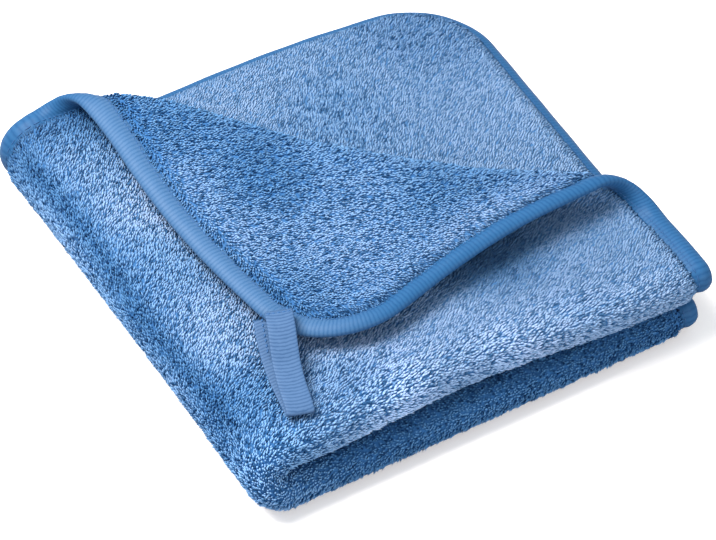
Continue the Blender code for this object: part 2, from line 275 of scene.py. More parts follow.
def turn_back(p, q, lift):
    """The free corner rolled over its crest and laid back on the top layer."""
    c, s = math.cos(CREST_ANGLE), math.sin(CREST_ANGLE)
    across, along = p * c + q * s, q * c - p * s
    out = read(CREST[0], CREST[1], along)
    radius = read(CREST[0], CREST[2], along)
    past = across - out
    angle = np.clip(past / radius, 0, math.pi)
    back = np.clip(past - math.pi * radius, 0, None)
    slack = TURN_LENGTH - 2 * out - math.pi * radius
    settled = back - slack * (1 - np.exp(-back / SLACK_SETTLE))
    top = np.where(past < 0, across, out + radius * np.sin(angle) - settled)
    lying = LAYER_PITCH + (2 * radius - LAYER_PITCH) * (1 - smooth(back / TURN_SETTLE))
    raised = EDGE_LIFT * smooth((p - EDGE_LIFT_FROM) / (CLOTH_RIGHT - EDGE_LIFT_FROM))
    away = back / EDGE_LIFT_PEAK
    lying = lying + raised * away * np.exp(1 - away)
    height = np.where(back > 0, lying, radius * (1 - np.cos(angle)))
    turned = (past > 0) & (p > 0) & (q > 0)
    top = np.where(turned, top, across)
    return top * c - along * s, top * s + along * c, lift + np.where(turned, height, 0)


def fold(run, offset, radius, front):
    """A run that turns round a fold: how far back from its front it ends, and how high off its axis."""
    reach = radius * math.pi / 2
    angle = np.clip(run / radius, -math.pi / 2, math.pi / 2)
    beyond = np.clip(np.abs(run) - reach, 0, None)
    return front - (radius + offset) * np.cos(angle) + beyond, (radius + offset) * np.sin(angle)


def thickness_left(x, y):
    return 1 - THINNING * smooth((np.minimum(x, y) - THINNING_FROM) / THINNING_OVER)


def middle(p, q):
    """Where the middle of the cloth's thickness comes to lie once it is folded."""
    p, q, lift = droop(p, q)
    p, q = pull(p, q)
    p, q, lift = turn_back(p, q, lift)
    y, offset = fold(q, lift, FOLD_1_RADIUS, FOLD_1_FRONT)
    x, z = fold(p, offset, FOLD_2_RADIUS, FOLD_2_FRONT)
    z = z + STACK_HEIGHT / 2
    upper = smooth((z / STACK_HEIGHT - LIP_FROM_HEIGHT) / (LIP_WHOLE_HEIGHT - LIP_FROM_HEIGHT))
    z = z * thickness_left(x, y)
    back = read(*LIP, x) * upper * (1 - smooth(y / LIP_DEPTH))
    y = y - FOOT * (1 - upper) * (1 - smooth(y / LIP_DEPTH))
    lean = LEAN * y * (1 + y / LEAN_CURVE) * (1 - np.clip(x, *LEAN_ACROSS) / LEAN_ACROSS[1])
    return np.stack([x - lean, y + back, z], axis=-1)


# Soft troughs and ridges that the folding leaves in the plush: from p, q to p, q on the flat cloth,
# half its width, and how far it rises on the upper face in the folded stack, down where negative.
CREASES = (
    ((0.0050, 0.020), (0.0060, 0.110), 0.0035, -0.0020),
    ((0.0060, 0.110), (0.0050, 0.190), 0.0035, -0.0022),
    ((0.0300, -0.006), (0.1900, -0.006), 0.0040, 0.0014),
    ((0.020, 0.060), (0.016, 0.150), 0.010, 0.0009),
    ((0.034, 0.030), (0.040, 0.120), 0.009, -0.0009),
    ((0.050, 0.012), (0.150, 0.016), 0.007, 0.0008),
    ((0.070, 0.034), (0.170, 0.030), 0.010, -0.0008),
    ((0.110, 0.120), (0.160, 0.105), 0.010, -0.0010),
    ((0.150, 0.085), (0.195, 0.125), 0.009, 0.0008),
    ((0.135, 0.160), (0.170, 0.130), 0.011, 0.0009),
    ((0.060, 0.175), (0.110, 0.150), 0.012, -0.0009),
    ((0.180, 0.165), (0.150, 0.190), 0.010, -0.0009),
)


def soft_creases(p, q):
    """How far the upper face stands up in the creases there."""
    rise = np.zeros_like(p)
    for start, end, half_width, height in CREASES:
        a, b = np.array(start), np.array(end)
        run = b - a
        t = np.clip(((p - a[0]) * run[0] + (q - a[1]) * run[1]) / (run @ run), 0, 1)
        away = np.hypot(p - a[0] - t * run[0], q - a[1] - t * run[1])
        rise = rise + height * np.exp(-((away / half_width) ** 2))
    return rise


def lay_folded(p, q, w):
    """Carry points of the flat cloth, w off its middle, to their places in the folded stack."""
    beside = 0.00005
    over_p = middle(p + beside, q) - middle(p - beside, q)
    over_q = middle(p, q + beside) - middle(p, q - beside)
    square = np.cross(over_p, over_q)
    square /= np.linalg.norm(square, axis=-1, keepdims=True)
    at = middle(p, q)
    placed = at + (w * thickness_left(at[:, 0], at[:, 1]))[:, None] * square
    placed[placed[:, 2] < FLAT_BELOW, 2] = 0
    placed[:, 0] += NEAR_CORNER[0]
    placed[:, 1] += NEAR_CORNER[1]
    return placed


def lean_along(p, q, dp, dq):
    """The direction in the folded stack of a direction on the flat cloth."""
    beside = 0.0002
    length = np.hypot(dp, dq)
    dp, dq = dp / length * beside, dq / length * beside
    way = middle(p + dp, q + dq) - middle(p - dp, q - dq)
    return way / np.linalg.norm(way, axis=-1, keepdims=True)


# The ground is thinner than the plush by the length that the pile stands up from it, and it is
# pressed flat where the binding holds it.
CUT_EDGE_INSET = 0.0024
GROUND_HALF, PRESSED_HALF = 0.0031, 0.0009
SWELLS_FROM, SWELLS_OVER = 0.0080, 0.0035
KEPT_CLEAR, CLEAR_FROM, CLEAR_OVER, CLEAR_BEHIND = 0.0012, 0.150, 0.030, 0.005
GROUND_CELLS = 168

bpy.ops.mesh.primitive_grid_add(x_subdivisions=GROUND_CELLS, y_subdivisions=GROUND_CELLS, size=2)
ground = bpy.context.object
ground.name = "plush_ground"
bpy.ops.object.modifier_add(type="SOLIDIFY")
ground.modifiers[-1].thickness = 0.2
ground.modifiers[-1].offset = 0
bpy.ops.object.modifier_apply(modifier=ground.modifiers[-1].name)

unit = np.empty(len(ground.data.vertices) * 3)
ground.data.vertices.foreach_get("co", unit)
unit = unit.reshape(-1, 3)
half_p = (CLOTH_LEFT + CLOTH_RIGHT) / 2 - CUT_EDGE_INSET
half_q = (CLOTH_NEAR + CLOTH_FAR) / 2 - CUT_EDGE_INSET
rounding = CORNER_RADIUS - CUT_EDGE_INSET
flat_p, flat_q = unit[:, 0] * half_p, unit[:, 1] * half_q
straight_half = [[half_p - rounding], [half_q - rounding]]
over = np.clip(np.abs(np.stack([flat_p, flat_q])) - straight_half, 0, None)
round_in = np.maximum(over[0], over[1]) / np.maximum(np.hypot(over[0], over[1]), 1e-9)
in_corner = (over[0] > 0) & (over[1] > 0)
flat_p = np.where(in_corner, np.sign(flat_p) * (half_p - rounding + over[0] * round_in), flat_p)
flat_q = np.where(in_corner, np.sign(flat_q) * (half_q - rounding + over[1] * round_in), flat_q)
flat_p = flat_p + (CLOTH_RIGHT - CLOTH_LEFT) / 2
flat_q = flat_q + (CLOTH_FAR - CLOTH_NEAR) / 2
face_side = np.sign(unit[:, 2])
inset = edge_frame(flat_p, flat_q)[0]
# On the right side of the top layer the plush keeps clear of the tape, elsewhere it laps over it.
on_outer = face_side > 0
kept_clear = KEPT_CLEAR * smooth((flat_p - CLEAR_FROM) / CLEAR_OVER)
kept_clear *= smooth(flat_q / CLEAR_BEHIND) * on_outer
swelling = smooth((inset - kept_clear - SWELLS_FROM) / SWELLS_OVER)
half_here = PRESSED_HALF + (GROUND_HALF - PRESSED_HALF) * swelling
rise_here = soft_creases(flat_p, flat_q) * swelling
ground_at = lay_folded(flat_p, flat_q, face_side * half_here + rise_here)
ground.data.vertices.foreach_set("co", ground_at.ravel())
ground.data.update()


def face_outwards_and_smooth():
    """Turn the active piece's faces outwards and shade it smooth."""
    bpy.ops.object.mode_set(mode="EDIT")
    bpy.ops.mesh.select_all(action="SELECT")
    bpy.ops.mesh.normals_make_consistent(inside=False)
    bpy.ops.object.mode_set(mode="OBJECT")
    bpy.ops.object.shade_smooth()


face_outwards_and_smooth()


def attribute_value(tree, name):
    return add_node(tree, "ShaderNodeAttribute", {}, attribute_name=name).outputs["Fac"]


def mixed_colour(tree, share, first, second):
    mix = add_node(tree, "ShaderNodeMix", {0: share, 6: first, 7: second}, data_type="RGBA")
    return mix.outputs[2]


ground_look, ground_shader, knit = new_paint("knitted_ground", roughness=0.95, specular=0.1)
ground_place = add_node(knit, "ShaderNodeTexCoord", {}).outputs["Object"]
grain = add_node(knit, "ShaderNodeTexNoise", {"Vector": ground_place, "Scale": 700}).outputs["Fac"]
grain_colour = add_node(knit, "ShaderNodeValToRGB", {"Fac": grain})
grain_colour.color_ramp.elements[0].color = (0.016, 0.090, 0.250, 1)
grain_colour.color_ramp.elements[1].color = (0.055, 0.165, 0.370, 1)
# Under pile that lies smooth the ground is paler.
ground_colour = mixed_colour(
    knit, attribute_value(knit, "smoothed"), grain_colour.outputs["Color"], (0.062, 0.160, 0.330, 1)
)
ground_bump = add_node(knit, "ShaderNodeBump", {"Distance": 0.0006, "Strength": 0.8, "Height": grain})
knit.links.new(ground_colour, ground_shader.inputs["Base Color"])
knit.links.new(ground_bump.outputs["Normal"], ground_shader.inputs["Normal"])
ground.data.materials.append(ground_look)
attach(ground, "root")
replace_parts(ground, "cloth")
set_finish(ground, "plush")


# ---------------------------------------------------------------------------------------------
# The plush: short soft tufts of split microfibre, brushed to lie one way in each part of a face.
# One bent tuft is modelled, and planted all over the outer sides of the stack in seven patches.

TUFT_LENGTH, TUFT_HALF, ROOT_DEPTH = 0.0021, 0.00044, 0.0003
# Rings of the tuft, as shares of those: how far along it, how wide, and how far it leans there.
TUFT_RINGS = ((0.0, 0.8, 0.0), (0.6, 1.0, 0.14), (1.0, 0.0, 0.50))
DROP_FOR_LEAN = 0.30

bpy.ops.object.select_all(action="DESELECT")
bpy.ops.mesh.primitive_cone_add(
    vertices=3,
    radius1=TUFT_RINGS[0][1] * TUFT_HALF,
    radius2=0,
    depth=TUFT_LENGTH,
    end_fill_type="NOTHING",
    location=(0, 0, TUFT_LENGTH / 2),
)
tuft = bpy.context.object
tuft.name = "one_tuft"
bpy.ops.object.transform_apply(location=True, rotation=True, scale=True)
bpy.ops.object.mode_set(mode="EDIT")
bpy.ops.mesh.select_all(action="SELECT")
bpy.ops.mesh.bisect(plane_co=(0, 0, TUFT_RINGS[1][0] * TUFT_LENGTH), plane_no=(0, 0, 1))
bpy.ops.object.mode_set(mode="OBJECT")
root_to_tip = tuft.data.attributes.new("root_to_tip", "FLOAT", "POINT")
for vert in tuft.data.vertices:
    along, wide, leaning = min(TUFT_RINGS, key=lambda ring: abs(ring[0] - vert.co.z / TUFT_LENGTH))
    reach = math.hypot(vert.co.x, vert.co.y)
    widen = wide * TUFT_HALF / reach if reach > 1e-6 else 0
    drop = DROP_FOR_LEAN * leaning * TUFT_LENGTH
    vert.co = (
        vert.co.x * widen + leaning * TUFT_LENGTH,
        vert.co.y * widen,
        vert.co.z - drop - ROOT_DEPTH,
    )
    root_to_tip.data[vert.index].value = along
bpy.ops.object.shade_smooth()


def worked_out(tree, operation, *values):
    node = add_node(tree, "ShaderNodeMath", dict(enumerate(values)), operation=operation)
    return node.outputs["Value"]


def product(tree, first, second):
    """Two colours or directions, multiplied channel by channel."""
    node = add_node(tree, "ShaderNodeVectorMath", {0: first, 1: second}, operation="MULTIPLY")
    return node.outputs["Vector"]


plush_look, plush_shader, plush = new_paint("plush_pile", roughness=0.85, specular=0.04)
plush_shader.inputs["Sheen Weight"].default_value = 0.05
plush_shader.inputs["Sheen Roughness"].default_value = 0.5
plush_shader.inputs["Sheen Tint"].default_value = (0.75, 0.86, 1.0, 1)
# The tufts are painted darker towards their roots, as painted shade deep in the pile.
along_tuft = add_node(plush, "ShaderNodeValToRGB", {"Fac": attribute_value(plush, "root_to_tip")})
along_tuft.color_ramp.elements[0].position = 0.05
along_tuft.color_ramp.elements[0].color = (0.008, 0.070, 0.220, 1)
along_tuft.color_ramp.elements[1].position = 0.85
along_tuft.color_ramp.elements[1].color = (0.160, 0.335, 0.592, 1)
middle_stop = along_tuft.color_ramp.elements.new(0.45)
middle_stop.color = (0.070, 0.212, 0.438, 1)
# Pile that lies smooth is painted paler: partly its paler fibre sides, partly a painted sheen.
how_pale = worked_out(plush, "MULTIPLY", attribute_value(plush, "smoothed"), 0.80)
sheen_paled = mixed_colour(plush, how_pale, along_tuft.outputs["Color"], (0.292, 0.400, 0.585, 1))
per_tuft = add_node(
    plush,
    "ShaderNodeMapRange",
    {"Value": attribute_value(plush, "tuft_shade"), "To Min": 0.28, "To Max": 1.14},
)
# Each tuft's own tone, times the pile's painted lightness with its painted light and shade.
tone_here = worked_out(plush, "MULTIPLY", per_tuft.outputs["Result"], attribute_value(plush, "brushed"))
# Where the pile is darker, by its own tone and by its painted shade, it is painted a deeper blue too:
# its red falls faster than its tone, and its blue slower.
deeper_blue = add_node(
    plush,
    "ShaderNodeCombineXYZ",
    {
        channel: worked_out(plush, "POWER", tone_here, power)
        for channel, power in (("X", 1.75), ("Y", 1.15), ("Z", 0.85))
    },
)
plush.links.new(product(plush, sheen_paled, deeper_blue.outputs["Vector"]), plush_shader.inputs["Base Color"])
tuft.data.materials.append(plush_look)

# How the pile is brushed on each face: a place on the flat cloth, the way the tips point there, how
# smoothly they lie (0 stands up and curls, 1 lies flat), and how light the pile is painted. That
# lightness is partly its brushing and partly painted light and shade: painted shadow under the
# arches of the turned-back corner, painted shade in the groove and on the lower fold, painted light
# on the front lip and a painted sheen on the front strip. The outer face is the one on top and round
# the folds, the inner face shows where the corner is turned back.
OUTER_LAY = (
    # Painted shadow under the left arch of the turned-back corner.
    ((0.020, 0.192), (0.75, 0.66), 0.30, 0.62),
    ((0.036, 0.194), (0.75, 0.66), 0.00, 0.40),
    ((0.014, 0.165), (0.75, 0.66), 0.40, 1.02),
    ((0.013, 0.110), (0.75, 0.66), 0.25, 0.94),
    ((0.030, 0.130), (0.75, 0.66), 0.70, 1.18),
    ((0.024, 0.060), (0.75, 0.66), 0.60, 1.12),
    ((0.006, 0.000), (0.75, 0.30), 0.00, 1.20),
    ((0.016, 0.030), (0.75, 0.30), 0.00, 0.88),
    ((0.062, 0.048), (0.85, 0.50), 1.00, 1.16),
    ((0.095, 0.018), (0.93, 0.37), 1.00, 1.04),
    # Painted shadow under the right arch of the turned-back corner.
    ((0.128, 0.044), (0.93, 0.37), 0.90, 0.46),
    ((0.172, 0.030), (0.90, 0.40), 1.00, 0.91),
    ((0.120, 0.017), (0.93, 0.37), 1.00, 1.04),
    ((0.160, 0.014), (0.93, 0.37), 1.00, 1.04),
    ((0.045, 0.014), (0.95, 0.20), 0.35, 1.00),
    ((0.095, 0.003), (0.99, 0.00), 0.50, 1.16),
    ((0.155, 0.002), (0.99, -0.05), 0.45, 1.16),
    # Painted light on the front lip of the upper fold.
    ((0.060, -0.005), (0.99, -0.05), 0.10, 2.00),
    ((0.110, -0.006), (0.99, -0.05), 0.10, 1.95),
    # Painted shade in the groove under the upper fold.
    ((0.100, -0.015), (0.99, -0.10), 0.00, 0.64),
    ((-0.012, 0.110), (0.90, 0.40), 0.15, 1.05),
    ((-0.030, 0.050), (0.90, 0.10), 0.10, 0.80),
    # Painted shade on the lower fold.
    ((-0.060, 0.000), (0.99, -0.10), 0.00, 0.72),
    ((-0.150, 0.000), (0.99, -0.10), 0.00, 0.70),
)
INNER_LAY = (
    ((0.159, 0.160), (0.87, -0.49), 0.35, 1.16),
    ((0.131, 0.186), (0.87, -0.49), 0.35, 1.14),
    ((0.102, 0.190), (0.60, -0.80), 0.30, 1.16),
    ((0.112, 0.126), (0.60, -0.80), 0.10, 1.06),
    ((0.073, 0.180), (0.60, -0.80), 0.00, 0.88),
    ((0.111, 0.159), (0.60, -0.80), 0.00, 0.74),
    ((0.165, 0.188), (0.87, -0.49), 0.10, 0.88),
    ((0.162, 0.107), (0.87, -0.49), 0.05, 0.88),
    ((0.140, 0.135), (0.87, -0.49), 0.25, 1.08),
    ((0.194, 0.108), (0.87, -0.49), 0.60, 1.10),
    ((0.120, -0.185), (0.87, -0.49), 0.90, 0.91),
    ((0.150, -0.150), (0.87, -0.49), 1.00, 0.95),
    ((0.126, -0.150), (0.60, -0.80), 0.60, 0.74),
    ((0.166, -0.172), (0.87, -0.49), 0.60, 0.74),
    ((0.180, -0.120), (0.87, -0.49), 1.00, 0.99),
    ((0.090, -0.180), (0.90, -0.43), 1.00, 0.99),
)


def brushed_at(rows, p, q):
    """The lay, the smoothness and the lightness with its painted light and shade, mixed from the rows
    near each place.
    """
    places = np.array([row[0] for row in rows])
    values = np.array([[*row[1], *row[2:]] for row in rows])
    near = 1 / ((p[:, None] - places[:, 0]) ** 2 + (q[:, None] - places[:, 1]) ** 2 + 0.0002) ** 2
    return near @ values / near.sum(axis=1, keepdims=True)


brush = np.where(
    on_outer[:, None], brushed_at(OUTER_LAY, flat_p, flat_q), brushed_at(INNER_LAY, flat_p, flat_q)
)
# Painted shade: the pile is painted darker in the trough along the left fold, which wanders a
# little, and beside the tape, where the tape shades it.
TROUGH_AT, TROUGH_HALF, TROUGH_WANDER, TROUGH_WAVES = 0.0058, 0.0036, 0.0010, 55
trough_here = TROUGH_AT + TROUGH_WANDER * np.sin(flat_q * TROUGH_WAVES)
trough = np.exp(-(((flat_p - trough_here) / TROUGH_HALF) ** 2)) * on_outer
trough *= smooth((flat_q - 0.010) / 0.030) * smooth((0.195 - flat_q) / 0.020)
TROUGH_SHADE, TAPE_SHADOW = 0.42, 0.40
shadow_beside_tape = 1 - smooth((inset - 0.0085) / 0.0055)
brush[:, 2] *= 1 - trough
brush[:, 3] *= (1 - TROUGH_SHADE * trough) * (1 - TAPE_SHADOW * shadow_beside_tape)
# Painted shade and light: the lower fold is painted darkest in the groove under the upper one, which
# shades it, and lighter again near the table, where the light reaches it.
GROOVE_SHADE, LIGHT_NEAR_TABLE = 0.22, 0.50
lower_fold = on_outer * smooth((0.004 - flat_p) / 0.020) * np.exp(-((flat_q / 0.020) ** 2))
towards_table = smooth((flat_q + 0.009) / 0.016)
brush[:, 3] *= 1 + lower_fold * (LIGHT_NEAR_TABLE * towards_table - GROOVE_SHADE)
# Beside the tape the tips spill out over it.
SPILL, SPILL_WITHIN, SPILL_FADE = 2.2, 0.0090, 0.0045
out_p, out_q = edge_frame(flat_p, flat_q)[1:]
spill = SPILL * (1 - smooth((inset - SPILL_WITHIN) / SPILL_FADE))
lay = lean_along(flat_p, flat_q, brush[:, 0] + spill * out_p, brush[:, 1] + spill * out_q)
lay_attribute = ground.data.attributes.new("pile_lay", "FLOAT_VECTOR", "POINT")
lay_attribute.data.foreach_set("vector", lay.ravel())

# How open each place is to the air above and beside the stack. Pile that nothing sees isn't made.
# The air is looked for in rings: how high in degrees, and how many directions in each.
SKY_RINGS = ((5, 12), (30, 10), (55, 6), (80, 3))
SKY_AWAY, START_OFF = 0.4, 0.0016
stack = BVHTree.FromPolygons(
    [tuple(v) for v in ground_at], [tuple(f.vertices) for f in ground.data.polygons]
)
normals = np.empty(len(ground.data.vertices) * 3)
ground.data.vertices.foreach_get("normal", normals)
normals = normals.reshape(-1, 3)
sky = []
for ring, (height, count) in enumerate(SKY_RINGS):
    for i in range(count):
        turn = 2 * math.pi * (i + 0.5 * (ring % 2)) / count
        rise = math.radians(height)
        sky.append((math.cos(turn) * math.cos(rise), math.sin(turn) * math.cos(rise), math.sin(rise)))
sky = np.array(sky)
open_share = np.zeros(len(ground_at))
for i in range(len(ground_at)):
    facing = sky @ normals[i]
    start = ground_at[i] + START_OFF * normals[i]
    seen = 0
    for direction in sky[facing > 0.05]:
        if stack.ray_cast(Vector(start), Vector(direction), SKY_AWAY)[0] is None:
            seen += 1
    open_share[i] = seen
# The pile ends beside the tape, a little raggedly.
PILE_FROM, RAGGED = 0.0080, 0.0007
waves_p = np.sin(flat_p * 1450 + 3 * np.sin(flat_q * 610))
waves_q = np.sin(flat_q * 1380 + 2 * np.sin(flat_p * 540))
ragged = RAGGED * waves_p * waves_q
on_pile = smooth((inset + ragged - kept_clear - PILE_FROM) / 0.0009)
density = on_pile * np.clip((open_share - 1) / 2, 0, 1)
density_attribute = ground.data.attributes.new("pile_density", "FLOAT", "POINT")
density_attribute.data.foreach_set("value", density)

for name, column in (("smoothed", 2), ("brushed", 3)):
    ground.data.attributes.new(name, "FLOAT", "POINT").data.foreach_set("value", brush[:, column])

TUFT_SPACING, TUFTS_PER_M2 = 0.00074, 3.0e6
PATCHES = ("left_top", "front_top", "front_folds", "left_fold", "turned_corner", "second_layer", "rest")
TOP_FROM_P, TOP_FROM_Q = 0.008, 0.004


def patch_of(p, q, outer):
    """Which of the patches a place on one face belongs to."""
    if not outer:
        return PATCHES.index("turned_corner" if p > 0 and q > 0 else "second_layer")
    if p > TOP_FROM_P and q > TOP_FROM_Q:
        return PATCHES.index("left_top" if q > p * 0.9 else "front_top")
    if p > TOP_FROM_P:
        return PATCHES.index("front_folds")
    if q > TOP_FROM_Q:
        return PATCHES.index("left_fold")
    return PATCHES.index("rest")


patch = []
for face in ground.data.polygons:
    corners = list(face.vertices)
    patch.append(patch_of(flat_p[corners].mean(), flat_q[corners].mean(), on_outer[corners].all()))
patch_attribute = ground.data.attributes.new("patch", "INT", "FACE")
patch_attribute.data.foreach_set("value", patch)

scatter = bpy.data.node_groups.new("pile_scatter", "GeometryNodeTree")
scatter.interface.new_socket("Geometry", in_out="INPUT", socket_type="NodeSocketGeometry")
scatter.interface.new_socket("Patch", in_out="INPUT", socket_type="NodeSocketInt")
scatter.interface.new_socket("Geometry", in_out="OUTPUT", socket_type="NodeSocketGeometry")
given = add_node(scatter, "NodeGroupInput", {})


def named(name, kind):
    node = add_node(scatter, "GeometryNodeInputNamedAttribute", {"Name": name}, data_type=kind)
    return node.outputs["Attribute"]


def vector_sum(*parts):
    total = parts[0]
    for part in parts[1:]:
        node = add_node(scatter, "ShaderNodeVectorMath", {0: total, 1: part}, operation="ADD")
        total = node.outputs["Vector"]
    return total


def vector_times(vector, factor):
    feeds = {0: vector, "Scale": factor}
    return add_node(scatter, "ShaderNodeVectorMath", feeds, operation="SCALE").outputs["Vector"]


def from_smoothed(curly, lying):
    """A number that goes from one value where the pile curls to another where it lies smooth."""
    feeds = {"Value": named("smoothed", "FLOAT"), "To Min": curly, "To Max": lying}
    return add_node(scatter, "ShaderNodeMapRange", feeds).outputs["Result"]


def noise_in_place(scale, detail):
    place = add_node(scatter, "GeometryNodeInputPosition", {}).outputs["Position"]
    return add_node(scatter, "ShaderNodeTexNoise", {"Vector": place, "Scale": scale, "Detail": detail})


def swirl(scale, factor):
    """A noise that turns neighbouring tufts together, centred on nought."""
    feeds = {0: noise_in_place(scale, 1.0).outputs["Color"], 1: (0.5, 0.5, 0.5)}
    centred = add_node(scatter, "ShaderNodeVectorMath", feeds, operation="SUBTRACT")
    return vector_times(centred.outputs["Vector"], factor)


def random_between(low, high, seed):
    feeds = {2: low, 3: high, "Seed": seed}
    return add_node(scatter, "FunctionNodeRandomValue", feeds, data_type="FLOAT").outputs[1]


same_patch = add_node(
    scatter,
    "FunctionNodeCompare",
    {2: named("patch", "INT"), 3: given.outputs["Patch"]},
    data_type="INT",
    operation="EQUAL",
)
only_patch = add_node(
    scatter,
    "GeometryNodeSeparateGeometry",
    {"Geometry": given.outputs["Geometry"], "Selection": same_patch.outputs["Result"]},
    domain="FACE",
)
points = add_node(
    scatter,
    "GeometryNodeDistributePointsOnFaces",
    {
        "Mesh": only_patch.outputs["Selection"],
        "Distance Min": TUFT_SPACING,
        "Density Max": TUFTS_PER_M2,
        "Density Factor": named("pile_density", "FLOAT"),
        "Seed": 7,
    },
    distribute_method="POISSON",
)

# Curly tufts stand up and swirl every way, smooth ones lean over together along the brushing.
unruly, lean = from_smoothed(1.0, 0.22), from_smoothed(0.22, 1.1)
way = vector_sum(
    named("pile_lay", "FLOAT_VECTOR"),
    vector_times(swirl(60, 1.0), unruly),
    vector_times(swirl(430, 2.6), unruly),
)
upright = vector_sum(
    points.outputs["Normal"], vector_times(way, lean), vector_times(swirl(620, 0.7), unruly)
)
turned = add_node(
    scatter,
    "FunctionNodeAxesToRotation",
    {"Primary Axis": upright, "Secondary Axis": way},
    primary_axis="Z",
    secondary_axis="X",
)

# Tufts stand in clumps, higher and lighter in the middle, and most are light with a few dark ones.
from_mean = worked_out(scatter, "SUBTRACT", noise_in_place(400, 0.5).outputs["Fac"], 0.5)
clump = worked_out(scatter, "MULTIPLY", from_mean, unruly)
width = worked_out(scatter, "MULTIPLY", random_between(0.80, 1.25, 11), from_smoothed(1.0, 1.08))
clump_height = worked_out(scatter, "MULTIPLY", clump, 1.3)
height = worked_out(scatter, "ADD", random_between(0.80, 1.20, 12), clump_height)
few_dark = worked_out(scatter, "POWER", random_between(0, 1, 13), 3.0)
mostly_light = worked_out(scatter, "SUBTRACT", 0.5, few_dark)
own_tone = worked_out(scatter, "MULTIPLY", mostly_light, from_smoothed(1.9, 0.50))
clump_tone = worked_out(scatter, "MULTIPLY", clump, 1.5)
tone = worked_out(scatter, "ADD", worked_out(scatter, "ADD", own_tone, 0.5), clump_tone)

shade = add_node(
    scatter,
    "GeometryNodeStoreNamedAttribute",
    {"Name": "tuft_shade", "Geometry": points.outputs["Points"], "Value": tone},
    data_type="FLOAT",
    domain="POINT",
)
size = add_node(scatter, "ShaderNodeCombineXYZ", {"X": width, "Y": width, "Z": height})
the_tuft = add_node(scatter, "GeometryNodeObjectInfo", {"Object": tuft})
planted = add_node(
    scatter,
    "GeometryNodeInstanceOnPoints",
    {
        "Points": shade.outputs["Geometry"],
        "Instance": the_tuft.outputs["Geometry"],
        "Rotation": turned.outputs["Rotation"],
        "Scale": size.outputs["Vector"],
    },
)
realized = add_node(scatter, "GeometryNodeRealizeInstances", {"Geometry": planted.outputs["Instances"]})
add_node(scatter, "NodeGroupOutput", {"Geometry": realized.outputs["Geometry"]})
patch_socket = scatter.interface.items_tree["Patch"].identifier


def select_only(piece):
    bpy.ops.object.select_all(action="DESELECT")
    piece.select_set(True)
    bpy.context.view_layer.objects.active = piece


ABOVE_TABLE = 0.0001
for number, name in enumerate(PATCHES):
    select_only(ground)
    bpy.ops.object.duplicate()
    pile = bpy.context.object
    pile.name = "plush_" + name
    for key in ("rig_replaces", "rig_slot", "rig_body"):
        if key in pile:
            del pile[key]
    pile.parent = None
    scattering = pile.modifiers.new("scatter", "NODES")
    scattering.node_group = scatter
    scattering[patch_socket] = number
    bpy.ops.object.modifier_apply(modifier="scatter")
    tips = np.empty(len(pile.data.vertices) * 3)
    pile.data.vertices.foreach_get("co", tips)
    tips = tips.reshape(-1, 3)
    tips[:, 2] = np.maximum(tips[:, 2], ABOVE_TABLE)
    pile.data.vertices.foreach_set("co", tips.ravel())
    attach(pile, "root")
    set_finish(pile, "plush")
bpy.data.objects.remove(tuft)


# ---------------------------------------------------------------------------------------------
# The edge binding: a satin ribbed tape about 10 mm wide on each face, folded round the pressed
# cut edge and sewn through all the way round, over the rounded corners too.

# Its section on one face, from its inner edge round to the outside: how far in, and how far off
# the cloth's middle. Inside, the channel closes on the cloth's pressed edge.
TAPE_SECTION = (
    (0.0098, 0.0009),
    (0.0089, 0.0014),
    (0.0082, 0.0018),
    (0.0074, 0.0021),
    (0.0066, 0.0023),
    (0.0057, 0.0026),
    (0.0046, 0.0028),
    (0.0032, 0.0026),
    (0.0018, 0.0021),
    (0.0006, 0.0012),
    (0.0000, 0.0000),
)
TAPE_INSIDE, TAPE_CLOSING = ((0.0040, -0.0014), (0.0040, 0.0014)), 0.003
RIB_PITCH, RIB_RISE = 0.0019, 0.00002
GATHER_PITCH, GATHER = 0.0231, 0.03
TO_MM = 1000
TAPE_STEP = RIB_PITCH / 4


def edge_run(step):
    """Places round the cloth's outline: p, q, the way out, and the length run so far."""
    low_p, high_p = -CLOTH_LEFT + CORNER_RADIUS, CLOTH_RIGHT - CORNER_RADIUS
    low_q, high_q = -CLOTH_NEAR + CORNER_RADIUS, CLOTH_FAR - CORNER_RADIUS
    arc = CORNER_RADIUS * math.pi / 2
    legs = [
        ((high_p, low_q), -math.pi / 2, high_q - low_q),
        ((high_p, high_q), 0, high_p - low_p),
        ((low_p, high_q), math.pi / 2, high_q - low_q),
        ((low_p, low_q), math.pi, high_p - low_p),
    ]
    rows, run = [], 0.0
    for (cp, cq), start, straight in legs:
        turns = round(arc / step)
        for i in range(turns):
            angle = start + math.pi / 2 * i / turns
            rows.append((cp, cq, math.cos(angle), math.sin(angle), run + arc * i / turns))
        run += arc
        out = (math.cos(start + math.pi / 2), math.sin(start + math.pi / 2))
        ahead = (-out[1], out[0])
        steps = round(straight / step)
        for i in range(steps):
            gone = straight * i / steps
            rows.append((cp + ahead[0] * gone, cq + ahead[1] * gone, *out, run + gone))
        run += straight
    return np.array(rows), run


